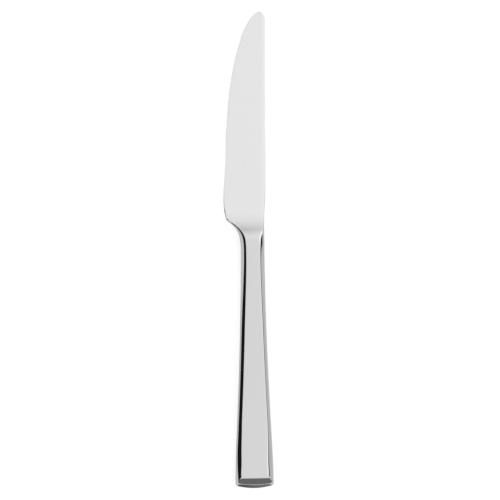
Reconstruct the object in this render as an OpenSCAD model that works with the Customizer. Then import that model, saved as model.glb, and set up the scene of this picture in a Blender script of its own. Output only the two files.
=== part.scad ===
// Table knife with a hollow handle.
// The blade, its bolster, plug and notched tang are one forging.
// The handle is two pressed half shells, brazed along the middle and at the mouth, and filled with cement.
// The knife lies flat: +Y runs from the handle to the tip, -X is the cutting edge and +Z is up.
// The origin is the middle of the flat face that the handle rests on.

/* [Blade] */
// Length of the blade from the heel corner to the tip
blade_len = 102.7; // [90:0.1:120]
// Distance of the straight part of the edge from the middle line of the handle
edge_reach = 12.9; // [11:0.1:15]
// How far the belly stands out beyond that line
belly_reach = 1.25; // [0.5:0.05:2.5]
// Distance from the heel corner to the widest place of the belly
belly_at = 9.8; // [7:0.1:14]
// Length over which the belly runs out toward the tip
belly_run = 24; // [12:0.5:30]
// How far the edge draws in from the belly to the heel corner
heel_draw = 1.2; // [0.5:0.05:2.5]
// Length of the curve that carries the edge round to the tip
tip_curve_len = 69; // [55:1:85]
// Distance of the tip from the middle line of the handle
tip_reach = 4.1; // [3:0.1:6]
// Distance of the spine from the middle line near the heel
spine_reach = 6.55; // [5.6:0.05:7.4]
// Distance of the spine from the middle line near the tip
spine_tip_reach = 7.1; // [6.2:0.1:8]
// Length over which the spine rounds off to the tip
spine_drop_len = 4; // [2:0.5:12]
// Thickness of the spine at the heel
spine_thick = 2.4; // [1.6:0.1:3.2]
// Thickness of the spine near the tip
tip_thick = 1.2; // [0.8:0.1:1.6]
// Thickness of the blade behind its cutting bevel
edge_thick = 0.6; // [0.4:0.05:1]
// Thickness of the blunt line of the edge itself
edge_land = 0.16; // [0.1:0.02:0.3]
// Width of the cutting bevel
edge_bevel_w = 1.2; // [0.6:0.1:2.5]
// Width of the rounding along the spine
spine_round = 0.35; // [0.2:0.05:0.6]

/* [Serrations] */
// Number of teeth along the edge
tooth_count = 24; // [10:1:30]
// Distance between teeth
tooth_pitch = 1.85; // [1.4:0.05:2]
// Depth of the hollow between two teeth
tooth_depth = 0.35; // [0.1:0.05:0.5]
// Distance from the tip to the first tooth
tooth_start = 13; // [8:0.5:20]

/* [Bolster] */
// Length from the mouth of the handle to the heel corner
neck_len = 15.3; // [13:0.1:20]
// Width across the neck, where the handle is narrowest
neck_w = 11.7; // [10.5:0.1:14]
// Length of the collar ahead of the mouth that keeps the full thickness
collar_len = 5.4; // [3:0.1:8]
// Length of the slope from the collar down to the blade
rise_len = 16.6; // [12:0.1:22]
// Depth of the shallow dip in the spine side at the heel
neck_dip = 0.45; // [0:0.05:0.8]
// Half length of that dip
neck_dip_len = 15.5; // [8:0.5:16]
// Angle of the heel below the line across the knife
heel_angle = 39; // [30:1:55]
// Length ahead of the mouth over which the bevel on the spine side runs out
run_out_len = 10.4; // [8:0.1:13]

/* [Handle] */
// Length from the butt to the mouth
handle_len = 117; // [100:0.5:135]
// Width at the butt
butt_w = 18.9; // [16:0.1:23]
// Thickness between the two flat faces
handle_thick = 8; // [7:0.1:10]
// Length at the butt where the sides run parallel
butt_parallel = 12; // [8:0.5:16]
// Width of each sloping side, seen from above
side_w = 0.47; // [0.35:0.01:0.9]
// Extra width of the side at the mouth
side_extra = 0.73; // [0:0.01:0.9]
// Length over which that extra width fades away
side_extra_len = 40; // [15:1:50]
// Extra width of the side at the butt
side_butt_extra = 0.55; // [0:0.05:0.8]
// Length over which that extra width fades away
side_butt_len = 16; // [10:0.5:30]
// Width of the bevel beside the flat face, seen from above
bevel_w = 1.62; // [1.3:0.01:1.8]
// How much narrower that bevel is at the mouth
bevel_less = 0.35; // [0:0.05:0.4]
// How much shallower it is at the mouth
bevel_lift = 0.17; // [0:0.01:0.25]
// Length over which it gets shallower
bevel_lift_len = 8; // [4:0.5:15]
// Extra width of that bevel toward the butt
bevel_extra = 0.75; // [0:0.05:0.85]
// Length over which that extra width fades away
bevel_extra_len = 28; // [15:1:60]
// How far the flat face spreads over that bevel again at the butt
bevel_draw = 1; // [0:0.05:1.1]
// Length over which it spreads
bevel_draw_len = 10; // [6:0.5:15]
// Depth of the bevel below the flat face along the middle of the handle
bevel_drop = 1.42; // [1:0.02:1.6]
// Length of the sloping end, from the flat face to the butt
end_len = 5; // [4:0.1:6.5]
// Length of the end's lowest part, below the rim
end_wall_len = 1.8; // [1.4:0.1:2.2]
// Height of the end between its two rims
end_rim_h = 3.2; // [2.4:0.1:4]
// Bow of the butt's outline
end_bow = 1.4; // [0.8:0.1:2.2]
// Bow of the rim above it
rim_bow = 1; // [0.4:0.1:1.2]
// Bow of the flat face's end
face_bow = 0.1; // [0.05:0.01:0.3]
// Corner radius of the butt
butt_corner_r = 1.1; // [0.8:0.1:1.6]
// Corner radius of the rim
rim_corner_r = 1; // [0.6:0.1:1.4]
// Corner radius of the flat face at the butt
face_corner_r = 0.4; // [0.2:0.05:0.5]
// Wall of the two half shells
wall = 0.8; // [0.5:0.05:1]

/* [Joints] */
// Thickness of the braze between the two half shells
seam_gap = 0.12; // [0.08:0.01:0.2]
// Thickness of the braze between the mouth and the bolster
mouth_gap = 0.12; // [0.08:0.01:0.3]
// Length of the plug inside the mouth
plug_len = 4; // [2:0.5:8]
// Clearance round the plug
plug_clear = 0.1; // [0.05:0.01:0.2]
// Length of the tang behind the plug
tang_len = 56; // [30:1:70]
// Width of the tang
tang_w = 5.6; // [4:0.1:7]
// Thickness of the tang
tang_thick = 3; // [2:0.1:4]
// Number of notch pairs in the tang
notch_count = 3; // [1:1:5]
// Radius of the notches that the cement grips
notch_r = 1.1; // [0.6:0.1:1.4]
// Clearance between the cement and the metal round it
cement_clear = 0.06; // [0.04:0.01:0.12]

/* [Hidden] */
$fn = 32;
// Overrun of all cuts
cut = 0.5;
// Steps along the sides, round each corner and across half of the butt
side_steps = 28;
corner_steps = 4;
end_steps = 4;
// Steps along the heel, the belly, the plain edge and the tip, and along each tooth
heel_steps = 14;
belly_steps = 6;
plain_steps = 8;
tip_steps = 12;
tooth_steps = 4;
// Power of the handle's flare, and how softly it levels off at the butt
flare_share = 1.62;
level_share = 0.18;
// Part of the butt's width that is flat in the middle of its bow
middle_share = 0.1;
// Part of the slope behind the blade that curves outward
rise_bend_share = 0.3;
// Where the cutting bevel and the spine's rounding break
bevel_break_share = 0.4;
round_break_share = 0.3;
// Length of the two ends of the heel's curve, as parts of the neck's length
neck_curve_share = 0.69;
heel_curve_share = 0.34;
// Place of the dip along the neck
dip_at_share = 1.05;
// How much of the spine side's bevel the run-out takes away, how slowly it starts and how fast the side narrows
run_out_share = 0.85;
run_out_power_share = 1.5;
side_fade_share = 1.5;
// Power of the edge's curve to the tip
tip_power_share = 1.16;
// Place of the last ring before the tip, in steps of the tip's curve
tip_end_share = 0.6;
// Width of the blade that its bevels may take near the tip
tip_bevel_share = 0.8;
// Point of the tang as parts of its width and length
tang_point_shares = [0.5, 0.08];

half_t = handle_thick / 2;
seam_h = seam_gap / 2;
y_mouth = (handle_len - end_len) / 2;
y_face_end = y_mouth - handle_len + end_len;
y_butt = y_face_end - end_len;
y_shoulder = y_mouth + mouth_gap;
y_heel = y_mouth + neck_len;
y_belly = y_heel + belly_at;
y_tip = y_heel + blade_len;
y_teeth = y_tip - tooth_start - tooth_count * tooth_pitch;
y_plug = y_mouth - plug_len;
tip_round_len = tip_thick;
rim_z = half_t - drop_at(y_mouth);
rim_z_share = rim_z / half_t;
end_slope = (half_t - end_rim_h / 2) / (end_len - end_wall_len);
flare_len = handle_len - butt_parallel;
heel_x = -(edge_reach + belly_reach - heel_draw);

function mix(a, b, t) = a + (b - a) * t;
function limit(t) = max(0, min(1, t));
function soft_min(a, b, k) = min(a, b) - k * pow(max(0, k - abs(a - b)) / k, 2) / 4;
// Height of a quarter of an ellipse, from 0 to 1
function arch(t) = sqrt(1 - pow(1 - limit(t), 2));
// One point of a cubic curve with four control points
function curve(p, t) =
    p[0] * pow(1 - t, 3) + p[1] * 3 * t * pow(1 - t, 2) + p[2] * 3 * t * t * (1 - t) + p[3] * pow(t, 3);

// Half width of the handle at a place along it
function flare(y) = soft_min(pow(max(0, y_mouth - y) / flare_len, flare_share), 1, level_share);
function half_w(y) = mix(neck_w / 2, butt_w / 2, flare(y));
// Width of the sloping side and of the bevel above it, which change toward the mouth and the butt
function mouth_fade(y, length) = (1 + cos(180 * limit((y_mouth - y) / length))) / 2;
function butt_fade(y, length) = limit(1 - (y - y_face_end) / length);
function side_at(y) =
    side_w + side_extra * mouth_fade(y, side_extra_len) + side_butt_extra * pow(butt_fade(y, side_butt_len), 2);
function bevel_at(y) =
    bevel_w - bevel_less * mouth_fade(y, side_extra_len) + bevel_extra * butt_fade(y, bevel_extra_len)
    - bevel_draw * pow(butt_fade(y, bevel_draw_len), 2);
// Depth of the bevel, which keeps its slope where its width changes, but for the mouth
function drop_at(y) = bevel_drop * bevel_at(y) / bevel_w - bevel_lift * mouth_fade(y, bevel_lift_len);

// Half of an outline of the handle, from the mouth to the middle of the butt
// sides and bevels count how many of each the outline lies inside the widest one
function outline(y_from, sides, bevels, inset, end_in, bow, corner) =
    let (inner = sides * side_at(y_butt) + bevels * bevel_at(y_butt) + inset)
    let (x_end = butt_w / 2 - inner)
    let (lean = atan(2 * bow / (butt_w / 2)))
    let (x_turn = x_end - corner * (1 - sin(lean)))
    let (y_end = y_butt + end_in)
    let (y_turn = y_end + bow * pow(2 * x_turn / butt_w, 2) + corner * cos(lean))
    concat(
        [for (i = [0:side_steps])
            let (y = mix(y_from, y_turn, i / side_steps))
            [half_w(y) - sides * side_at(y) - bevels * bevel_at(y) - inset, y]],
        [for (i = [1:corner_steps])
            let (turn = (90 - lean) * i / corner_steps)
            [x_end - corner + corner * cos(turn), y_turn - corner * sin(turn)]],
        [for (i = [1:end_steps])
            let (x = x_turn * mix(1, middle_share, i / end_steps))
            [x, y_end + bow * pow(2 * x / butt_w, 2)]]
    );

// The widest outline at the seam, the rim outline and the outline of the flat face
function seam_line(y_from, inset) =
    outline(y_from, 0, 0, inset, inset, end_bow, butt_corner_r - inset / 2);
function rim_line(y_from, inset) =
    outline(y_from, 1, 0, inset, end_wall_len + inset, rim_bow, rim_corner_r - inset / 2);
function face_line(y_from, inset) =
    outline(y_from, 1, 1, inset / 2, end_len + inset / 2, face_bow, face_corner_r);
// Height of the rim above the seam: lower where the bevel widens and where the sloping end cuts it
rim_heights = [for (p = rim_line(y_mouth, 0)) half_t - max(drop_at(p[1]), (y_face_end - p[1]) * end_slope)];

// Faces of a loft over rings of n points
function loft_sides(rings, n) = [
    for (i = [0:rings - 2])
    for (j = [0:n - 1])
    for (half = [0, 1])
        let (a = i * n + j)
        let (b = i * n + (j + 1) % n)
        half == 0 ? [a, b + n, b] : [a, a + n, b + n]
];

// Upper half of the handle's body, drawn in by inset, from y_from down to the butt
// low is the height of its flat underside, and the sides run on in line down to it
module half_body(inset, y_from, low) {
    seam = seam_line(y_from, inset);
    rim = rim_line(y_from, inset);
    face = face_line(y_from, inset);
    count = len(seam);
    rings = [
        for (i = [0:count - 1])
            let (rim_h = rim_heights[i] - inset / 2)
            let (face_h = half_t - inset)
            let (foot = seam[i] + (seam[i] - rim[i]) * (seam_h - low) / (rim_h - seam_h))
            each [
                [foot[0], foot[1], low],
                [rim[i][0], rim[i][1], rim_h],
                [face[i][0], face[i][1], face_h],
                [-face[i][0], face[i][1], face_h],
                [-rim[i][0], rim[i][1], rim_h],
                [-foot[0], foot[1], low]
            ]
    ];
    last = 6 * (count - 1);
    polyhedron(
        points = rings,
        faces = concat(
            [[for (j = [0:5]) j]],
            loft_sides(count, 6),
            [
                [last, last + 4, last + 1],
                [last, last + 5, last + 4],
                [last + 1, last + 3, last + 2],
                [last + 1, last + 4, last + 3]
            ]
        )
    );
}

// One pressed half shell, open at the seam and at the mouth
module half_shell() {
    difference() {
        half_body(0, y_mouth, seam_h);
        half_body(wall, y_mouth + cut, -cut);
    }
}

// Section of the handle at the mouth, drawn in by inset
module mouth_section(inset) {
    y = y_mouth;
    half = half_w(y);
    quarter = [
        [half - inset, seam_h],
        [half - side_at(y) - inset, rim_z - inset / 2],
        [half - side_at(y) - bevel_at(y) - inset / 2, half_t - inset]
    ];
    polygon(concat(
        quarter,
        [for (i = [2:-1:0]) [-quarter[i][0], quarter[i][1]]],
        [for (p = quarter) -p],
        [for (i = [2:-1:0]) [quarter[i][0], -quarter[i][1]]]
    ));
}

// Solid with that section along the knife between two places
module along(y_from, y_to) {
    translate([0, y_to, 0])
        rotate([90, 0, 0])
            linear_extrude(height = y_to - y_from)
                children();
}

// Edge of the blade ahead of the heel, and the hollows between its teeth
function belly(y) =
    y > y_belly
        ? belly_reach * (1 + cos(180 * limit((y - y_belly) / belly_run))) / 2
        : belly_reach - heel_draw * pow((y_belly - y) / belly_at, 2);
function edge_x(y) =
    tip_reach - (edge_reach + tip_reach) * pow(arch((y_tip - y) / tip_curve_len), tip_power_share) - belly(y);
// Hollow heel between the neck and the heel corner
heel_points = [
    [-neck_w / 2, y_shoulder],
    [-neck_w / 2, y_shoulder + neck_curve_share * neck_len],
    [heel_x + heel_curve_share * neck_len * cos(heel_angle), y_heel - heel_curve_share * neck_len * sin(heel_angle)],
    [heel_x, y_heel]
];
// Spine side, with its dip at the heel and its drop to the tip
dip_y = y_mouth + dip_at_share * neck_len;
function dip(y) = neck_dip * pow(max(0, 1 - pow((y - dip_y) / neck_dip_len, 2)), 2);
function spine_line(y) =
    y < y_belly
        ? mix(neck_w / 2, spine_reach, limit((y - y_shoulder) / (y_belly - y_shoulder)))
        : mix(spine_reach, spine_tip_reach, (y - y_belly) / (y_tip - y_belly));
function spine_x(y) =
    mix(tip_reach, spine_line(y) - dip(y), arch((y_tip - y) / spine_drop_len));

// How far the section has grown from the blade's to the handle's: 0 on the blade, 1 at the collar
function growth(y) =
    let (t = limit((y - y_shoulder - collar_len) / rise_len))
    1 - (t < rise_bend_share ? t * t / rise_bend_share : 1 - pow(1 - t, 2) / (1 - rise_bend_share));

// Height of the bevel's foot on the spine side, as a part of the height there
function spine_rim_share(y) =
    mix(rim_z_share, 1, run_out_share * pow(limit((y - y_shoulder) / run_out_len), run_out_power_share));

// One ring of the blade at a place along it, with the edge at x
function blade_ring(y, x, hollow) =
    let (grown = growth(y))
    let (spread = grown * grown)
    let (far = limit((y - y_heel) / blade_len))
    let (spine = spine_x(y))
    let (thin = arch((y_tip - y) / tip_round_len))
    let (edge_h = mix(edge_thick / 2, half_t, grown) * thin)
    let (spine_h = mix(mix(spine_thick, tip_thick, far) / 2, half_t, grown) * thin)
    let (land = mix(edge_land / 2, seam_h, grown) * thin)
    let (bevels = side_at(y_mouth) + bevel_at(y_mouth))
    let (edge_in = mix(edge_bevel_w, bevels, spread))
    let (spine_side = mix(round_break_share * spine_round, side_at(y_mouth), pow(grown, side_fade_share)))
    let (spine_in = spine_side + mix((1 - round_break_share) * spine_round, bevel_at(y_mouth), grown))
    let (room = limit(tip_bevel_share * (spine - x - hollow) / (edge_in + spine_in)))
    let (edge_break = mix(bevel_break_share * edge_bevel_w, side_at(y_mouth), spread) * room)
    let (top = [
        [x + hollow, land],
        [x + max(hollow, edge_break + hollow / 2), rim_z_share * edge_h],
        [x + edge_in * room, edge_h],
        [spine - spine_in * room, spine_h],
        [spine - spine_side * room, spine_rim_share(y) * spine_h],
        [spine, land]
    ])
    concat(
        [for (p = top) [p[0], y, p[1]]],
        [for (i = [5:-1:0]) [top[i][0], y, -top[i][1]]]
    );

// Blade and bolster, from the shoulder at the mouth to the tip
module blade_body() {
    rings = concat(
        [for (i = [0:heel_steps])
            let (p = curve(heel_points, i / heel_steps))
            blade_ring(p[1], p[0], 0)],
        [for (i = [1:belly_steps])
            let (y = mix(y_heel, y_belly, i / belly_steps))
            blade_ring(y, edge_x(y), 0)],
        [for (i = [1:plain_steps])
            let (y = mix(y_belly, y_teeth, i / plain_steps))
            blade_ring(y, edge_x(y), 0)],
        [for (i = [1:tooth_count * tooth_steps])
            let (part = (i % tooth_steps) / tooth_steps)
            let (y = y_teeth + i / tooth_steps * tooth_pitch)
            blade_ring(y, edge_x(y), tooth_depth * 4 * part * (1 - part))],
        [for (i = [1:tip_steps])
            let (y = y_tip - tooth_start * pow(1 - i / (tip_steps + tip_end_share), 2))
            blade_ring(y, edge_x(y), 0)]
    );
    count = len(rings);
    polyhedron(
        points = [for (ring = rings) each ring],
        faces = concat(
            [[for (j = [0:11]) j]],
            loft_sides(count, 12),
            [[for (j = [11:-1:0]) 12 * (count - 1) + j]]
        )
    );
}

// Flat outline of the tang, drawn out by clear
module tang_outline(clear) {
    half = tang_w / 2 + clear;
    y_end = y_plug - tang_len - clear;
    polygon([
        [-half, y_plug + cut],
        [-half, y_end + tang_point_shares[1] * tang_len],
        [-half * tang_point_shares[0], y_end],
        [half * tang_point_shares[0], y_end],
        [half, y_end + tang_point_shares[1] * tang_len],
        [half, y_plug + cut]
    ]);
}

// Tang with its pairs of notches
module tang(clear) {
    difference() {
        translate([0, 0, -tang_thick / 2 - clear])
            linear_extrude(height = tang_thick + 2 * clear)
                tang_outline(clear);
        for (i = [1:notch_count])
            for (side = [-1, 1])
                translate([side * tang_w / 2, y_plug - i * tang_len / (notch_count + 1), -tang_thick])
                    cylinder(h = 2 * tang_thick, r = notch_r - clear);
    }
}

module blade() {
    color("gainsboro")
        translate([0, 0, half_t])
            union() {
                blade_body();
                along(y_plug, y_shoulder + cut)
                    mouth_section(wall + plug_clear);
                tang(0);
            }
}

module handle_upper_shell() {
    color("silver")
        translate([0, 0, half_t])
            half_shell();
}

module handle_lower_shell() {
    color("silver")
        translate([0, 0, half_t])
            mirror([0, 0, 1])
                half_shell();
}

// Whole outline from half of one, mirrored to the other side
function both_sides(half) = concat(half, [for (i = [len(half) - 1:-1:0]) [-half[i][0], half[i][1]]]);

module seam_braze() {
    color("darkgray")
        translate([0, 0, half_t - seam_h])
            linear_extrude(height = seam_gap)
                difference() {
                    polygon(both_sides(seam_line(y_mouth, 0)));
                    polygon(both_sides(seam_line(y_mouth + cut, wall)));
                }
}

module mouth_braze() {
    color("darkgray")
        translate([0, 0, half_t])
            along(y_mouth, y_shoulder)
                difference() {
                    mouth_section(0);
                    mouth_section(wall);
                }
}

module handle_cement() {
    color("gray")
        translate([0, 0, half_t])
            difference() {
                union() {
                    half_body(wall + cement_clear, y_plug - cement_clear, 0);
                    mirror([0, 0, 1])
                        half_body(wall + cement_clear, y_plug - cement_clear, 0);
                }
                tang(cement_clear);
            }
}

blade();
handle_upper_shell();
handle_lower_shell();
seam_braze();
mouth_braze();
handle_cement();
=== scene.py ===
"""Table knife with a hollow handle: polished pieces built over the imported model."""
import math

import bpy
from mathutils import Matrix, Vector


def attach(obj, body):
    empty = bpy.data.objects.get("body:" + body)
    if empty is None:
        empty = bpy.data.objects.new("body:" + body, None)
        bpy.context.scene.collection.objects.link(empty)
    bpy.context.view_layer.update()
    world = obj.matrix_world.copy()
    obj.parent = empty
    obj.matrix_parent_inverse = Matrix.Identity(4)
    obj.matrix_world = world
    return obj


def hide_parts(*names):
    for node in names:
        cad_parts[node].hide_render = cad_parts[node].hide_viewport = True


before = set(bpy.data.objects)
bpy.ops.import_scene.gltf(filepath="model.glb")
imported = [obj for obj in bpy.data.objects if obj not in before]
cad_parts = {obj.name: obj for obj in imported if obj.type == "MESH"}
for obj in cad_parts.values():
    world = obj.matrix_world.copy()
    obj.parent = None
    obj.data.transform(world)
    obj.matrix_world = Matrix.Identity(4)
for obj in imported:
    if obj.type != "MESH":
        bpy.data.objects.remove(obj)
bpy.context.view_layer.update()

MM = 0.001

# Sizes of the knife in millimetres, as in the part's own source
# Blade: outline, section and teeth
BLADE_LEN, EDGE_REACH, BELLY_REACH = 102.7, 12.9, 1.25
BELLY_AT, BELLY_RUN, HEEL_DRAW = 9.8, 24.0, 1.2
TIP_CURVE_LEN, TIP_REACH, TIP_POWER_SHARE = 69.0, 4.1, 1.16
SPINE_REACH, SPINE_TIP_REACH, SPINE_DROP_LEN = 6.55, 7.1, 4.0
SPINE_THICK, TIP_THICK, EDGE_THICK, EDGE_LAND = 2.4, 1.2, 0.6, 0.16
EDGE_BEVEL_W, BEVEL_BREAK_SHARE, ROUND_BREAK_SHARE = 1.2, 0.4, 0.3
TIP_BEVEL_SHARE, TIP_END_SHARE = 0.8, 0.6
TOOTH_COUNT, TOOTH_PITCH, TOOTH_DEPTH, TOOTH_START = 24, 1.85, 0.35, 13.0
# Neck and bolster: outline, rise to the handle and where the bevel on the spine side runs out
NECK_LEN, NECK_W, COLLAR_LEN, RISE_LEN, RISE_BEND_SHARE = 15.3, 11.7, 5.4, 16.6, 0.3
NECK_CURVE_SHARE, HEEL_CURVE_SHARE, HEEL_ANGLE = 0.69, 0.34, math.radians(39)
NECK_DIP, NECK_DIP_LEN, DIP_AT_SHARE = 0.45, 15.5, 1.05
RUN_OUT_LEN, RUN_OUT_SHARE, RUN_OUT_POWER_SHARE, SIDE_FADE_SHARE = 10.4, 0.85, 1.5, 1.5
# Handle: outline, steep side and bevel, with how these change toward the mouth and the butt
HANDLE_LEN, BUTT_W, HANDLE_THICK, BUTT_PARALLEL = 117.0, 18.9, 8.0, 12.0
FLARE_SHARE, LEVEL_SHARE, MIDDLE_SHARE = 1.62, 0.18, 0.1
SIDE_W, SIDE_EXTRA, SIDE_EXTRA_LEN = 0.47, 0.73, 40.0
SIDE_BUTT_EXTRA, SIDE_BUTT_LEN = 0.55, 16.0
BEVEL_W, BEVEL_LESS, BEVEL_LIFT, BEVEL_LIFT_LEN = 1.62, 0.35, 0.17, 8.0
BEVEL_EXTRA, BEVEL_EXTRA_LEN = 0.75, 28.0
BEVEL_DRAW, BEVEL_DRAW_LEN, BEVEL_DROP = 1.0, 10.0, 1.42
# Butt: sloping end, the bows of its outlines and their corners
END_LEN, END_WALL_LEN, END_RIM_H = 5.0, 1.8, 3.2
END_BOW, RIM_BOW, FACE_BOW = 1.4, 1.0, 0.1
BUTT_CORNER_R, RIM_CORNER_R, FACE_CORNER_R = 1.1, 1.0, 0.4
# Joints, and the plug and tang inside the handle
WALL, SEAM_GAP, MOUTH_GAP = 0.8, 0.12, 0.12
PLUG_LEN, PLUG_CLEAR = 4.0, 0.1
TANG_LEN, TANG_W, TANG_THICK = 56.0, 5.6, 3.0
TANG_POINT_SHARES, NOTCH_COUNT, NOTCH_R = (0.5, 0.08), 3, 1.1

# Places along the knife and heights that follow from the sizes
HALF_T, SEAM_H = HANDLE_THICK / 2, SEAM_GAP / 2
Y_MOUTH = (HANDLE_LEN - END_LEN) / 2
Y_FACE_END = Y_MOUTH - HANDLE_LEN + END_LEN
Y_BUTT = Y_FACE_END - END_LEN
Y_SHOULDER = Y_MOUTH + MOUTH_GAP
Y_HEEL = Y_MOUTH + NECK_LEN
Y_BELLY = Y_HEEL + BELLY_AT
Y_TIP = Y_HEEL + BLADE_LEN
Y_TEETH = Y_TIP - TOOTH_START - TOOTH_COUNT * TOOTH_PITCH
Y_PLUG = Y_MOUTH - PLUG_LEN
RIM_Z = HALF_T - BEVEL_DROP * (BEVEL_W - BEVEL_LESS) / BEVEL_W + BEVEL_LIFT
RIM_Z_SHARE = RIM_Z / HALF_T
END_SLOPE = (HALF_T - END_RIM_H / 2) / (END_LEN - END_WALL_LEN)
FLARE_LEN = HANDLE_LEN - BUTT_PARALLEL
HEEL_X = -(EDGE_REACH + BELLY_REACH - HEEL_DRAW)

# Polished edges: how far each rounding reaches, in millimetres
RIM_SOFT, FACE_SOFT, LENS_SOFT, BLADE_SOFT = 0.12, 0.42, 0.1, 0.03
# Steps of a rounding, and the most that it takes of an edge beside it
ROUND_STEPS, ROUND_MOST_SHARE = 5, 0.45
# Rounding of the flat face near the butt, and the lengths over which it grows to that and ends
FACE_SOFT_BUTT, FACE_SOFT_LENS = 1.1, (22.0, 1.5)
# How far short of the sloping end polishing leaves the flat face
FACE_END_SHORT = 0.25
# Rounding of the face where the bevel on the spine side runs out, and the stretch over which it grows
RUN_OUT_SOFT, RUN_OUT_SOFT_FROM, RUN_OUT_SOFT_LEN = 1.0, 1.0, 6.0
# Width of the flat strip inside that rounding, and the steps in which it turns at the butt
FACE_STRIP, STRIP_TURN_STEPS = 2.2, 3
# Shallow swelling of the butt below its rim: half its length, the power that shapes its ends, its share
# of the wall at the ends and in the middle, its slope and how soon it has that
LENS_REACH, LENS_POWER, LENS_SHARES = 9.2, 8, (0.3, 0.92)
LENS_SLOPE, LENS_RISE = math.tan(math.radians(38)), 3
# Narrower cutting bevel along the heel and just ahead of it, and where it has its full width
HEEL_EDGE_SHARES, HEEL_EDGE_FROM, HEEL_EDGE_LEN = (0.9, 0.35), 6.0, 16.0
# Length past the heel over which that bevel and the fine line below take their own widths
HEEL_BLEND_LEN = 1.0
# Fine steep line along the edge: width at the heel, length over which it narrows, what it keeps and slope
EDGE_LINE_W, EDGE_LINE_LEN, EDGE_LINE_SHARE = 0.2, 20.0, 0.15
EDGE_LINE_SLOPE = math.tan(math.radians(40))
# Width and depth of the face's roll toward the spine, and the narrow edge there
ROLL_W, ROLL_DEPTH, SPINE_EDGE = 2.2, 0.118, 0.14
# Extra width of the spine's steep side at the heel, and the length over which it narrows
SPINE_LINE_W, SPINE_LINE_LEN = 0.27, 60.0
# Length over which the cutting bevel turns into a blunt edge at the tip, and how blunt that gets
TIP_BLUNT_LEN, TIP_BLUNT_SHARE = 6.0, 0.9
# Length over which the section closes at the very tip
TIP_ROUND_LEN = 0.02
# Chamfer along the tang, as a share of its thickness
TANG_CHAMFER_SHARE = 0.125
# Steps along the sides, round a corner and across half of the butt
SIDE_STEPS, CORNER_STEPS, END_STEPS = 70, 10, 14
# Steps along the blade's stretches, along each tooth and across its face
HEEL_STEPS, BELLY_STEPS, PLAIN_STEPS, TIP_STEPS = 44, 16, 24, 30
TOOTH_STEPS, ACROSS_STEPS, NOTCH_STEPS = 8, 14, 8
# Edges that turn more than this stay sharp
SHARP_ANGLE = math.radians(28)


def mix(a, b, t):
    return a + (b - a) * t


def limit(t):
    return max(0.0, min(1.0, t))


def soft_min(a, b, k):
    return min(a, b) - k * (max(0.0, k - abs(a - b)) / k) ** 2 / 4


def arch(t):
    return math.sqrt(1 - (1 - limit(t)) ** 2)


def hump(t):
    return 4 * t * (1 - t)


def ring_faces(ring_count, ring_len):
    """Faces between rings of points that follow each other."""
    faces = []
    for i in range(ring_count - 1):
        for j in range(ring_len):
            a, b = i * ring_len + j, i * ring_len + (j + 1) % ring_len
            faces.append((a, b, b + ring_len, a + ring_len))
    return faces


# Handle: nested outlines, as in the part's own source

def half_w(y):
    flare = soft_min((max(0.0, Y_MOUTH - y) / FLARE_LEN) ** FLARE_SHARE, 1.0, LEVEL_SHARE)
    return mix(NECK_W / 2, BUTT_W / 2, flare)


def mouth_fade(y, length):
    return (1 + math.cos(math.pi * limit((Y_MOUTH - y) / length))) / 2


def butt_fade(y, length):
    return limit(1 - (y - Y_FACE_END) / length)


def side_at(y):
    width = SIDE_W + SIDE_EXTRA * mouth_fade(y, SIDE_EXTRA_LEN)
    return width + SIDE_BUTT_EXTRA * butt_fade(y, SIDE_BUTT_LEN) ** 2


def bevel_at(y):
    width = BEVEL_W - BEVEL_LESS * mouth_fade(y, SIDE_EXTRA_LEN)
    width += BEVEL_EXTRA * butt_fade(y, BEVEL_EXTRA_LEN)
    return width - BEVEL_DRAW * butt_fade(y, BEVEL_DRAW_LEN) ** 2


def drop_at(y):
    return BEVEL_DROP * bevel_at(y) / BEVEL_W - BEVEL_LIFT * mouth_fade(y, BEVEL_LIFT_LEN)


def outline(sides, bevels, inset, end_in, bow, corner):
    """Half of an outline of the handle, from the mouth to the middle of the butt.

    It lies inside the seam by the steep side and the bevel, where sides and bevels are 1, and by inset.
    """
    y_end = Y_BUTT + end_in
    inner = sides * side_at(y_end + corner) + bevels * bevel_at(y_end + corner) + inset
    x_end = BUTT_W / 2 - inner
    lean = math.atan(2 * bow / (BUTT_W / 2))
    x_turn = x_end - corner * (1 - math.sin(lean))
    y_turn = y_end + bow * (2 * x_turn / BUTT_W) ** 2 + corner * math.cos(lean)
    points = []
    for i in range(SIDE_STEPS + 1):
        y = mix(Y_MOUTH, y_turn, i / SIDE_STEPS)
        points.append((half_w(y) - sides * side_at(y) - bevels * bevel_at(y) - inset, y))
    for i in range(1, CORNER_STEPS + 1):
        turn = (math.pi / 2 - lean) * i / CORNER_STEPS
        points.append((x_end - corner + corner * math.cos(turn), y_turn - corner * math.sin(turn)))
    for i in range(1, END_STEPS + 1):
        x = x_turn * mix(1, MIDDLE_SHARE, i / END_STEPS)
        points.append((x, y_end + bow * (2 * x / BUTT_W) ** 2))
    return points


def seam_line(inset):
    return outline(0, 0, inset, inset, END_BOW, BUTT_CORNER_R - inset / 2)


def rim_line(inset):
    return outline(1, 0, inset, END_WALL_LEN + inset, RIM_BOW, RIM_CORNER_R - inset / 2)


def face_line(inset):
    return outline(1, 1, inset / 2, END_LEN + FACE_END_SHORT + inset / 2, FACE_BOW, FACE_CORNER_R)


def strip_line(inset):
    """Inner side of a flat strip along the face's outline, straight across from it but for its corner."""
    face = face_line(inset)
    corner_x = face[SIDE_STEPS][0]
    strip = []
    for i, (x, y) in enumerate(face):
        if i < SIDE_STEPS:
            turned = limit(1 - (SIDE_STEPS - i) / STRIP_TURN_STEPS) ** 2
            strip.append((x - FACE_STRIP, y + FACE_STRIP * turned))
        else:
            strip.append((x * (1 - FACE_STRIP / corner_x), y + FACE_STRIP))
    return strip


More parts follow.
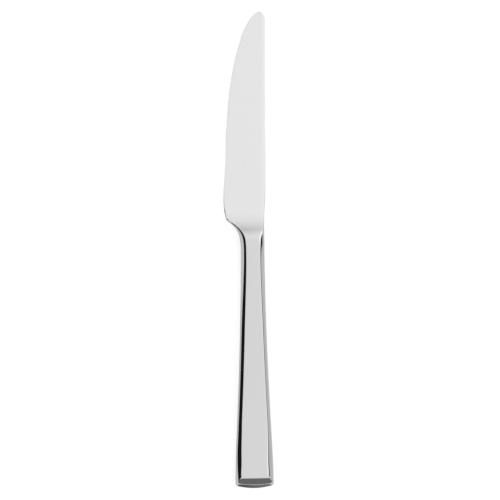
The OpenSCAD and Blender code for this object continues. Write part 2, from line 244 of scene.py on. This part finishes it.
def rounded(path, reaches):
    """Path with each inner corner rounded off over its reach."""
    out = [Vector(path[0])]
    for i in range(1, len(path) - 1):
        here, before, after = Vector(path[i]), Vector(path[i - 1]), Vector(path[i + 1])
        start, end = (
            here + arm.normalized() * min(reaches[i - 1], ROUND_MOST_SHARE * arm.length)
            for arm in (before - here, after - here))
        for k in range(ROUND_STEPS + 1):
            t = k / ROUND_STEPS
            out.append(start * (1 - t) ** 2 + here * 2 * t * (1 - t) + end * t ** 2)
    out.append(Vector(path[-1]))
    return out


def shell_walls():
    """Cross paths of a half shell, outside and inside, at each place along its outline."""
    heights = [HALF_T - max(drop_at(y), (Y_FACE_END - y) * END_SLOPE) for _, y in rim_line(0)]
    butt = SIDE_STEPS + CORNER_STEPS // 2
    walls = []
    for inset in (0.0, WALL):
        lines = seam_line(inset), rim_line(inset), face_line(inset), strip_line(inset)
        paths = []
        for i, rim_h in enumerate(heights):
            seam = Vector((*lines[0][i], SEAM_H))
            rim = Vector((*lines[1][i], rim_h - inset / 2))
            swell = max(0.0, 1 - (seam.x / LENS_REACH) ** LENS_POWER) if i > butt and not inset else 0.0
            split = seam.lerp(rim, mix(*LENS_SHARES, swell))
            lens_h = SEAM_H + LENS_SLOPE * (split - seam).xy.length
            split.z = mix(split.z, min(split.z, lens_h), limit(LENS_RISE * swell))
            corners = [seam, split, rim, (*lines[2][i], HALF_T - inset), (*lines[3][i], HALF_T - inset)]
            y_face = lines[2][i][1] - FACE_END_SHORT
            near_butt = butt_fade(y_face, FACE_SOFT_LENS[0]) - butt_fade(y_face, FACE_SOFT_LENS[1])
            face_soft = mix(FACE_SOFT, FACE_SOFT_BUTT, near_butt)
            paths.append(rounded(corners, (LENS_SOFT, RIM_SOFT, face_soft)))
        walls.append(paths)
    return walls


def half_shell(turned):
    """Points and faces of a half shell; turned makes the lower one."""
    outer, inner = shell_walls()
    width = len(outer[0])
    ring = 4 * width
    points = []
    for out_path, in_path in zip(outer, inner):
        right = list(out_path)
        left = [Vector((-p.x, p.y, p.z)) for p in reversed(out_path)]
        in_left = [Vector((-p.x, p.y, p.z)) for p in in_path]
        in_right = list(reversed(in_path))
        points += right + left + in_left + in_right
    faces = ring_faces(len(outer), ring)
    last = (len(outer) - 1) * ring
    # Middle of the butt, outside and inside
    for k in range(width - 1):
        for base in (last, last + 2 * width):
            near, far = base + k, base + 2 * width - 1 - k
            faces.append((near, near + 1, far - 1, far))
    # Seam land across the middle of the butt
    faces.append((last, last + 2 * width - 1, last + 2 * width, last + ring - 1))
    # Flat end of the sheet at the mouth
    for k in range(2 * width - 1):
        faces.append((k, ring - 1 - k, ring - 2 - k, k + 1))
    sign = -1 if turned else 1
    points = [Vector((p.x, p.y, HALF_T + sign * p.z)) for p in points]
    if turned:
        faces = [tuple(reversed(f)) for f in faces]
    return points, faces


# Blade: rings along its length, as in the part's own source

def belly(y):
    if y > Y_BELLY:
        return BELLY_REACH * (1 + math.cos(math.pi * limit((y - Y_BELLY) / BELLY_RUN))) / 2
    return BELLY_REACH - HEEL_DRAW * ((Y_BELLY - y) / BELLY_AT) ** 2


def edge_x(y):
    turn = arch((Y_TIP - y) / TIP_CURVE_LEN) ** TIP_POWER_SHARE
    return TIP_REACH - (EDGE_REACH + TIP_REACH) * turn - belly(y)


def heel_point(t):
    run = HEEL_CURVE_SHARE * NECK_LEN
    p = (
        (-NECK_W / 2, Y_SHOULDER),
        (-NECK_W / 2, Y_SHOULDER + NECK_CURVE_SHARE * NECK_LEN),
        (HEEL_X + run * math.cos(HEEL_ANGLE), Y_HEEL - run * math.sin(HEEL_ANGLE)),
        (HEEL_X, Y_HEEL),
    )
    weights = ((1 - t) ** 3, 3 * t * (1 - t) ** 2, 3 * t * t * (1 - t), t ** 3)
    return tuple(sum(w * q[k] for w, q in zip(weights, p)) for k in (0, 1))


def spine_x(y):
    if y < Y_BELLY:
        line = mix(NECK_W / 2, SPINE_REACH, limit((y - Y_SHOULDER) / (Y_BELLY - Y_SHOULDER)))
    else:
        line = mix(SPINE_REACH, SPINE_TIP_REACH, (y - Y_BELLY) / (Y_TIP - Y_BELLY))
    dip_y = Y_MOUTH + DIP_AT_SHARE * NECK_LEN
    dip = NECK_DIP * max(0.0, 1 - ((y - dip_y) / NECK_DIP_LEN) ** 2) ** 2
    return mix(TIP_REACH, line - dip, arch((Y_TIP - y) / SPINE_DROP_LEN))


def growth(y):
    t = limit((y - Y_SHOULDER - COLLAR_LEN) / RISE_LEN)
    if t < RISE_BEND_SHARE:
        return 1 - t * t / RISE_BEND_SHARE
    return (1 - t) ** 2 / (1 - RISE_BEND_SHARE)


def spine_rim_share(y):
    along = limit((y - Y_SHOULDER) / RUN_OUT_LEN)
    return mix(RIM_Z_SHARE, 1, RUN_OUT_SHARE * along ** RUN_OUT_POWER_SHARE)


def edge_bevel(y):
    start = mix(*HEEL_EDGE_SHARES, limit((y - Y_HEEL) / HEEL_BLEND_LEN))
    return EDGE_BEVEL_W * mix(start, 1, limit((y - Y_HEEL - HEEL_EDGE_FROM) / HEEL_EDGE_LEN))


def edge_line(y):
    """Weight and width of the fine line along the edge, which is widest at the heel."""
    left = limit(1 - (y - Y_HEEL) / EDGE_LINE_LEN)
    return limit((y - Y_HEEL) / HEEL_BLEND_LEN), EDGE_LINE_W * mix(EDGE_LINE_SHARE, 1, left)


def blade_corners(y, x, hollow):
    """Six corners of the upper half of the blade's section, from the edge to the spine."""
    grown = growth(y)
    spread = grown ** 2
    far = limit((y - Y_HEEL) / BLADE_LEN)
    spine = spine_x(y)
    thin = arch((Y_TIP - y) / TIP_ROUND_LEN)
    edge_h = mix(EDGE_THICK / 2, HALF_T, grown) * thin
    spine_h = mix(mix(SPINE_THICK, TIP_THICK, far) / 2, HALF_T, grown) * thin
    blunt = TIP_BLUNT_SHARE * limit(1 - (Y_TIP - y) / TIP_BLUNT_LEN) ** 2
    land = mix(mix(EDGE_LAND / 2, SEAM_H, grown) * thin, edge_h, blunt)
    bevels = side_at(Y_MOUTH) + bevel_at(Y_MOUTH)
    edge_in = mix(edge_bevel(y), bevels, spread)
    spine_line = ROUND_BREAK_SHARE * SPINE_EDGE + SPINE_LINE_W * limit(1 - (y - Y_HEEL) / SPINE_LINE_LEN)
    spine_side = mix(spine_line, side_at(Y_MOUTH), grown ** SIDE_FADE_SHARE)
    spine_in = spine_side + mix((1 - ROUND_BREAK_SHARE) * SPINE_EDGE, bevel_at(Y_MOUTH), grown)
    room = limit(TIP_BEVEL_SHARE * (spine - x - hollow) / (edge_in + spine_in))
    weight, line_w = edge_line(y)
    edge_break = mix(BEVEL_BREAK_SHARE * edge_bevel(y), side_at(Y_MOUTH), spread)
    edge_break = mix(edge_break, line_w, weight) * room
    edge_foot = mix(RIM_Z_SHARE * edge_h, land + line_w * room * EDGE_LINE_SLOPE, weight)
    return [
        (x + hollow, land),
        (x + hollow + edge_break, edge_foot),
        (x + edge_in * room, edge_h),
        (spine - spine_in * room, spine_h),
        (spine - spine_side * room, spine_rim_share(y) * spine_h),
        (spine, land),
    ]


def both_sides(right):
    """Six corners from the three on the right, for a section that is alike on both sides."""
    return [(-x, z) for x, z in right] + list(reversed(right))


def plug_corners():
    """The same six corners for the plug inside the mouth."""
    inset = WALL + PLUG_CLEAR
    half = half_w(Y_MOUTH)
    side, bevel = side_at(Y_MOUTH), bevel_at(Y_MOUTH)
    right = [
        (half - inset, SEAM_H),
        (half - side - inset, RIM_Z - inset / 2),
        (half - side - bevel - inset / 2, HALF_T - inset),
    ]
    return both_sides(right)


def tang_corners(half):
    """The same six corners for the flat tang."""
    chamfer = TANG_CHAMFER_SHARE * TANG_THICK
    return both_sides([(half, SEAM_H), (half, TANG_THICK / 2 - chamfer), (half - chamfer, TANG_THICK / 2)])


def section_ring(corners, y):
    """Closed ring of points for one section, with its edges rounded and its face rolled to the spine."""
    _, _, (x_edge, _), (x_spine, spine_h), (x_rim, rim_h), last = corners
    grown = growth(y)
    roll_w = min(ROLL_W, (x_spine - x_edge) / 2)
    roll = ROLL_DEPTH * roll_w / ROLL_W * (1 - grown) ** 2
    kept = (spine_h - roll) / spine_h
    corners = [*corners[:3], (x_spine, spine_h * kept), (x_rim, rim_h * kept), last]
    run_out = limit((y - Y_SHOULDER - RUN_OUT_SOFT_FROM) / RUN_OUT_SOFT_LEN)
    reaches = (
        mix(BLADE_SOFT, RIM_SOFT, grown ** 2), mix(BLADE_SOFT, FACE_SOFT, grown ** 2),
        mix(BLADE_SOFT, mix(FACE_SOFT, RUN_OUT_SOFT, run_out), grown), mix(BLADE_SOFT, RIM_SOFT, grown))
    path = rounded([(x, z, 0.0) for x, z in corners], reaches)
    middle = len(path) // 2
    start, end = path[middle - 1], path[middle]
    across = []
    for k in range(1, ACROSS_STEPS):
        t = 1 - (1 - k / ACROSS_STEPS) ** 2
        point = start.lerp(end, t)
        point.y += roll * (t - limit(1 - (end.x - point.x) / roll_w) ** 2)
        across.append(point)
    top = path[:middle] + across + path[middle:]
    upper = [Vector((p.x, y, HALF_T + p.y)) for p in top]
    lower = [Vector((p.x, y, HALF_T - p.y)) for p in reversed(top)]
    return upper + lower


def tang_stations():
    """Half width of the tang at places from its point to the plug."""
    end = Y_PLUG - TANG_LEN
    half = TANG_W / 2
    stations = [(end, half * TANG_POINT_SHARES[0]), (end + TANG_POINT_SHARES[1] * TANG_LEN, half)]
    for i in range(NOTCH_COUNT, 0, -1):
        middle = Y_PLUG - i * TANG_LEN / (NOTCH_COUNT + 1)
        for k in range(NOTCH_STEPS + 1):
            turn = math.pi * k / NOTCH_STEPS
            stations.append((middle - NOTCH_R * math.cos(turn), half - NOTCH_R * math.sin(turn)))
    stations.append((Y_PLUG, half))
    return stations


def blade_rings():
    rings = [section_ring(tang_corners(half), y) for y, half in tang_stations()]
    rings += [section_ring(plug_corners(), y) for y in (Y_PLUG, Y_SHOULDER)]
    for i in range(HEEL_STEPS + 1):
        x, y = heel_point(i / HEEL_STEPS)
        rings.append(section_ring(blade_corners(y, x, 0.0), y))
    stretches = ((Y_HEEL, Y_BELLY, BELLY_STEPS), (Y_BELLY, Y_TEETH, PLAIN_STEPS))
    for y_from, y_to, steps in stretches:
        for i in range(1, steps + 1):
            y = mix(y_from, y_to, i / steps)
            rings.append(section_ring(blade_corners(y, edge_x(y), 0.0), y))
    for i in range(1, TOOTH_COUNT * TOOTH_STEPS + 1):
        part = (i % TOOTH_STEPS) / TOOTH_STEPS
        y = Y_TEETH + i / TOOTH_STEPS * TOOTH_PITCH
        rings.append(section_ring(blade_corners(y, edge_x(y), TOOTH_DEPTH * hump(part)), y))
    for i in range(1, TIP_STEPS + 1):
        y = Y_TIP - TOOTH_START * (1 - i / (TIP_STEPS + TIP_END_SHARE)) ** 2
        rings.append(section_ring(blade_corners(y, edge_x(y), 0.0), y))
    return rings


def blade_mesh():
    rings = blade_rings()
    n = len(rings[0])
    points = [p for ring in rings for p in ring]
    faces = ring_faces(len(rings), n)
    faces.append(tuple(n - 1 - j for j in range(n)))
    last = (len(rings) - 1) * n
    faces.append(tuple(last + j for j in range(n)))
    return points, faces


# Materials

# Darker and lighter tone of each material, and its roughness, from its smoothest to its roughest places
STEEL_TONES, STEEL_ROUGHNESS = ((0.665, 0.665, 0.668), (0.695, 0.695, 0.695)), (0.05, 0.10)
SATIN_TONES, SATIN_ROUGHNESS = ((0.782, 0.782, 0.784), (0.804, 0.804, 0.804)), (0.22, 0.28)
# Tones of the steep sides are painted shade: darker steel that stands in for the shadowed floor the sides
# reflect
SIDE_SHADE_TONES, SIDE_ROUGHNESS = ((0.49, 0.49, 0.492), (0.53, 0.53, 0.53)), (0.10, 0.18)
BRAZE_TONES, BRAZE_ROUGHNESS = ((0.64, 0.63, 0.60), (0.70, 0.69, 0.66)), (0.12, 0.25)
CEMENT_TONES, CEMENT_ROUGHNESS = ((0.30, 0.29, 0.27), (0.55, 0.54, 0.51)), 0.9
# Noises: cycles per metre, the share of that along each axis, and detail
TONE_CLOUD = 40.0, (1.0, 0.35, 1.0), 3.0
BLADE_GRAIN = 4000.0, (0.05, 1.0, 1.0), 3.0
HANDLE_GRAIN = 300.0, (1.0, 0.12, 1.0), 4.0
BRAZE_GRAIN = 1200.0, (1.0, 1.0, 1.0), 3.0
CEMENT_GRIT = 1500.0, (1.0, 1.0, 1.0), 5.0
# Depths of the grains and the grit in metres
BLADE_GRAIN_DEPTH, HANDLE_GRAIN_DEPTH = 0.00000015, 0.0000008
BRAZE_GRAIN_DEPTH, CEMENT_GRIT_DEPTH = 0.000002, 0.00008
# Values of a noise between which the roughness changes
NOISE_RANGE = 0.3, 0.7
# Stretch along the knife, in metres, where the polish turns into the blade's satin grind
SATIN_STRETCH = 0.060, 0.072
# Share of the grind's depth that the polish keeps
POLISH_DEPTH_SHARE = 0.5
# Share of light that metal still sends back when seen almost edge on
METAL_RIM_TINT = 0.7
# Upward parts of the normal between which a face counts more and more as a steep side, darkened with
# painted shade
SIDE_FADE = 0.72, 0.56


def new_material(name):
    material = bpy.data.materials.new(name)
    material.use_nodes = True
    return material, material.node_tree.nodes, material.node_tree.links


def math_node(nodes, links, operation, a, b):
    node = nodes.new("ShaderNodeMath")
    node.operation = operation
    for socket, value in zip(node.inputs, (a, b)):
        if isinstance(value, float):
            socket.default_value = value
        else:
            links.new(value, socket)
    return node.outputs[0]


def fade_node(nodes, links, value, start, end):
    """0 up to start, 1 from end on, smooth between."""
    node = nodes.new("ShaderNodeMapRange")
    node.interpolation_type = "SMOOTHSTEP"
    node.inputs["From Min"].default_value = start
    node.inputs["From Max"].default_value = end
    links.new(value, node.inputs["Value"])
    return node.outputs["Result"]


def mix_node(nodes, links, factor, a, b):
    node = nodes.new("ShaderNodeMix")
    node.data_type = "FLOAT"
    links.new(factor, node.inputs["Factor"])
    for name, value in (("A", a), ("B", b)):
        if isinstance(value, float):
            node.inputs[name].default_value = value
        else:
            links.new(value, node.inputs[name])
    return node.outputs["Result"]


def split_coords(nodes, links, space):
    """Sockets for the parts of a coordinate along X, Y and Z."""
    coords = nodes.new("ShaderNodeTexCoord")
    split = nodes.new("ShaderNodeSeparateXYZ")
    links.new(coords.outputs[space], split.inputs[0])
    return split.outputs


def add_noise(nodes, links, scale, axis_shares, detail):
    """Noise in object space, in cycles per metre, slower along an axis with a smaller share."""
    coords = nodes.new("ShaderNodeTexCoord")
    mapping = nodes.new("ShaderNodeMapping")
    mapping.inputs["Scale"].default_value = axis_shares
    noise = nodes.new("ShaderNodeTexNoise")
    noise.inputs["Scale"].default_value = scale
    noise.inputs["Detail"].default_value = detail
    links.new(coords.outputs["Object"], mapping.inputs["Vector"])
    links.new(mapping.outputs["Vector"], noise.inputs["Vector"])
    return noise.outputs["Fac"]


def mix_colour(nodes, links, factor, a, b):
    node = nodes.new("ShaderNodeMix")
    node.data_type = "RGBA"
    links.new(factor, node.inputs["Factor"])
    for socket, value in zip([i for i in node.inputs if i.type == "RGBA"], (a, b)):
        if isinstance(value, tuple):
            socket.default_value = value
        else:
            links.new(value, socket)
    return [o for o in node.outputs if o.type == "RGBA"][0]


def ramp_colour(nodes, links, factor, low, high):
    return mix_colour(nodes, links, factor, (*low, 1), (*high, 1))


def ramp_value(nodes, links, factor, low, high):
    spread = nodes.new("ShaderNodeMapRange")
    spread.inputs["From Min"].default_value = NOISE_RANGE[0]
    spread.inputs["From Max"].default_value = NOISE_RANGE[1]
    spread.inputs["To Min"].default_value = low
    spread.inputs["To Max"].default_value = high
    links.new(factor, spread.inputs["Value"])
    return spread.outputs["Result"]


def add_bump(nodes, links, shader, height, depth):
    """Relief of a depth in metres on the shader; gives back its node."""
    bump = nodes.new("ShaderNodeBump")
    bump.inputs["Strength"].default_value = 1.0
    bump.inputs["Distance"].default_value = depth
    links.new(height, bump.inputs["Height"])
    links.new(bump.outputs["Normal"], shader.inputs["Normal"])
    return bump


def metal(name, tones, roughness, grain, grain_depth, satin=False, dull_shaded_sides=False):
    """Metal with slow changes of tone, a grain of polishing lines and an uneven gloss.

    satin turns the polish into the blade's grind along its stretch.
    The last flag gives the steep sides a rougher gloss and darker tones; the darker tones are painted
    shade, standing in for the shadowed floor that the sides reflect.
    """
    material, nodes, links = new_material(name)
    shader = nodes["Principled BSDF"]
    shader.inputs["Metallic"].default_value = 1.0
    shader.inputs["Specular Tint"].default_value = (METAL_RIM_TINT,) * 3 + (1,)
    cloud = add_noise(nodes, links, *TONE_CLOUD)
    lines = add_noise(nodes, links, *grain)
    colour = ramp_colour(nodes, links, cloud, *tones)
    gloss = ramp_value(nodes, links, lines, *roughness)
    bump = add_bump(nodes, links, shader, lines, grain_depth)
    changes = []
    if satin:
        along = split_coords(nodes, links, "Object")["Y"]
        ground = fade_node(nodes, links, along, *SATIN_STRETCH)
        links.new(mix_node(nodes, links, ground, POLISH_DEPTH_SHARE, 1.0), bump.inputs["Strength"])
        changes.append((ground, SATIN_TONES, SATIN_ROUGHNESS))
    # Steep sides: a rougher gloss, and darker tones that are painted shade
    if dull_shaded_sides:
        upright = math_node(nodes, links, "ABSOLUTE", split_coords(nodes, links, "Normal")["Z"], 0.0)
        changes.append((fade_node(nodes, links, upright, *SIDE_FADE), SIDE_SHADE_TONES, SIDE_ROUGHNESS))
    for share, other_tones, other_roughness in changes:
        colour = mix_colour(nodes, links, share, colour, ramp_colour(nodes, links, cloud, *other_tones))
        gloss = mix_node(nodes, links, share, gloss, ramp_value(nodes, links, lines, *other_roughness))
    links.new(colour, shader.inputs["Base Color"])
    links.new(gloss, shader.inputs["Roughness"])
    return material


def cement():
    material, nodes, links = new_material("cement")
    shader = nodes["Principled BSDF"]
    grit = add_noise(nodes, links, *CEMENT_GRIT)
    links.new(ramp_colour(nodes, links, grit, *CEMENT_TONES), shader.inputs["Base Color"])
    shader.inputs["Roughness"].default_value = CEMENT_ROUGHNESS
    add_bump(nodes, links, shader, grit, CEMENT_GRIT_DEPTH)
    return material


# Scene pieces

def add_piece(name, mesh_data, material, node):
    points, faces = mesh_data
    mesh = bpy.data.meshes.new(name)
    mesh.from_pydata([p * MM for p in points], [], faces)
    mesh.validate()
    mesh.shade_smooth()
    mesh.set_sharp_from_angle(angle=SHARP_ANGLE)
    mesh.materials.append(material)
    piece = bpy.data.objects.new(name, mesh)
    bpy.context.scene.collection.objects.link(piece)
    weighted = piece.modifiers.new("even_normals", "WEIGHTED_NORMAL")
    weighted.keep_sharp = True
    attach(piece, "root")
    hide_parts(node)


def dress_node(node, material):
    node_object = bpy.data.objects[node]
    node_object.data.materials.clear()
    node_object.data.materials.append(material)


def add_pieces():
    blade_steel = metal(
        "blade_steel", STEEL_TONES, STEEL_ROUGHNESS, BLADE_GRAIN, BLADE_GRAIN_DEPTH,
        satin=True, dull_shaded_sides=True)
    handle_steel = metal(
        "handle_steel", STEEL_TONES, STEEL_ROUGHNESS, HANDLE_GRAIN, HANDLE_GRAIN_DEPTH, dull_shaded_sides=True)
    braze = metal("silver_braze", BRAZE_TONES, BRAZE_ROUGHNESS, BRAZE_GRAIN, BRAZE_GRAIN_DEPTH)
    add_piece("blade_forging", blade_mesh(), blade_steel, "blade")
    add_piece("handle_half_upper", half_shell(False), handle_steel, "handle_upper_shell")
    add_piece("handle_half_lower", half_shell(True), handle_steel, "handle_lower_shell")
    dress_node("seam_braze", braze)
    dress_node("mouth_braze", braze)
    dress_node("handle_cement", cement())


# Stage: floor, surroundings and camera

# Floor: width in metres, tone, and the light that lifts it to white where it is seen
FLOOR_SIZE, FLOOR_TONE, FLOOR_LIFT = 24.0, 0.5, 0.7
# Light overhead, its rise to the right and the most that gives, its small rise and then fall to the back
ZENITH, RING_RISE, RING_MAX, BACK_RISE, BACK_FALL = 0.95, 2.0, 1.25, 0.48, 1.26
# Light near the horizon, how it changes to the right, along the knife and to the back, and its least
HORIZON, HORIZON_X, HORIZON_Y, HORIZON_BACK, HORIZON_MIN = 0.3, 0.36, 0.16, 0.5, 0.01
# Heights over which the low light turns into the high one, and how much lower they are to front and back
FADE_LOW, FADE_HIGH, FADE_SHIFT = 0.6, 0.72, 0.12
# Dark gap on the right: the heights where it starts and ends, how far to the right it lies, its depth
GAP_RISE, GAP_FALL, GAP_SIDE, GAP_DEPTH = (0.11, 0.34), (0.66, 0.76), (0.35, 0.7), 0.96
# Where the sides turn into front and back
SIDE_ENDS = 0.2, 0.45
# Photograph: width of the frame and length of the knife in it, in pixels
FRAME_PX, KNIFE_PX = 500, 476.3
# Middle of the frame on the knife, and how far the knife is turned
VIEW_X, VIEW_Y, VIEW_ROLL = -1.283, 56.48, math.radians(-0.497)
# The photograph looks a little from the left: more of that side shows
VIEW_LEAN = math.radians(6)
FOCAL_LEN, SENSOR_W = 200.0, 36.0


def seen_rays(nodes, links):
    """1 on rays of the camera and on those that metal or glass sends on."""
    path = nodes.new("ShaderNodeLightPath")
    value = path.outputs["Is Camera Ray"]
    for name in ("Is Glossy Ray", "Is Transmission Ray"):
        value = math_node(nodes, links, "MAXIMUM", value, path.outputs[name])
    return value


def add_floor():
    half = FLOOR_SIZE / 2
    corners = [(-half, -half, 0), (half, -half, 0), (half, half, 0), (-half, half, 0)]
    mesh = bpy.data.meshes.new("floor")
    mesh.from_pydata(corners, [], [(0, 1, 2, 3)])
    floor = bpy.data.objects.new("floor", mesh)
    bpy.context.scene.collection.objects.link(floor)
    material, nodes, links = new_material("pale_floor")
    shader = nodes["Principled BSDF"]
    shader.inputs["Base Color"].default_value = (FLOOR_TONE, FLOOR_TONE, FLOOR_TONE, 1)
    shader.inputs["Roughness"].default_value = 1.0
    shader.inputs["Specular IOR Level"].default_value = 0.0
    shader.inputs["Emission Color"].default_value = (1, 1, 1, 1)
    lift = math_node(nodes, links, "MULTIPLY", seen_rays(nodes, links), FLOOR_LIFT)
    links.new(lift, shader.inputs["Emission Strength"])
    mesh.materials.append(material)


def add_world():
    """White overhead and darker toward the horizon, most on the left, with a dark gap on the right."""
    world = bpy.data.worlds.new("studio")
    bpy.context.scene.world = world
    world.use_nodes = True
    nodes, links = world.node_tree.nodes, world.node_tree.links

    def calc(operation, a, b):
        return math_node(nodes, links, operation, a, b)

    def fade(value, start, end):
        return fade_node(nodes, links, value, start, end)

    x, y, z = split_coords(nodes, links, "Generated")
    ends = fade(calc("ABSOLUTE", y, 0.0), *SIDE_ENDS)
    sides = calc("SUBTRACT", 1.0, ends)
    right = calc("MAXIMUM", x, 0.0)
    rise = calc("MULTIPLY", calc("MULTIPLY", right, right), RING_RISE)
    ring = calc("ADD", calc("MULTIPLY", rise, sides), ZENITH)
    back = calc("MAXIMUM", y, 0.0)
    back_light = calc("MULTIPLY", back, calc("SUBTRACT", BACK_RISE, calc("MULTIPLY", back, BACK_FALL)))
    high = calc("ADD", calc("MINIMUM", ring, RING_MAX), back_light)
    low = calc("ADD", calc("MULTIPLY", x, HORIZON_X), calc("MULTIPLY", y, HORIZON_Y))
    low = calc("ADD", low, calc("MULTIPLY", back, HORIZON_BACK))
    low = calc("MAXIMUM", calc("ADD", low, HORIZON), HORIZON_MIN)
    height = calc("ADD", z, calc("MULTIPLY", ends, FADE_SHIFT))
    sky = mix_node(nodes, links, fade(height, FADE_LOW, FADE_HIGH), low, high)
    gap = calc("MULTIPLY", fade(z, *GAP_RISE), calc("SUBTRACT", 1.0, fade(z, *GAP_FALL)))
    gap = calc("MULTIPLY", calc("MULTIPLY", gap, fade(x, *GAP_SIDE)), GAP_DEPTH)
    gap = calc("MULTIPLY", gap, sides)
    background = nodes["Background"]
    background.inputs["Color"].default_value = (1, 1, 1, 1)
    links.new(calc("MULTIPLY", sky, calc("SUBTRACT", 1.0, gap)), background.inputs["Strength"])


def add_camera():
    data = bpy.data.cameras.new("camera")
    data.lens, data.sensor_width = FOCAL_LEN, SENSOR_W
    camera = bpy.data.objects.new("camera", data)
    bpy.context.scene.collection.objects.link(camera)
    frame_mm = FRAME_PX * (Y_TIP - Y_BUTT) / KNIFE_PX
    distance = frame_mm * FOCAL_LEN / SENSOR_W
    camera.rotation_euler = (0, -VIEW_LEAN, VIEW_ROLL)
    away = camera.rotation_euler.to_matrix() @ Vector((0, 0, distance))
    camera.location = (Vector((VIEW_X, VIEW_Y, HALF_T)) + away) * MM
    bpy.context.scene.camera = camera


add_camera()
add_floor()
add_world()
add_pieces()
bpy.context.scene.view_settings.view_transform = "Standard"
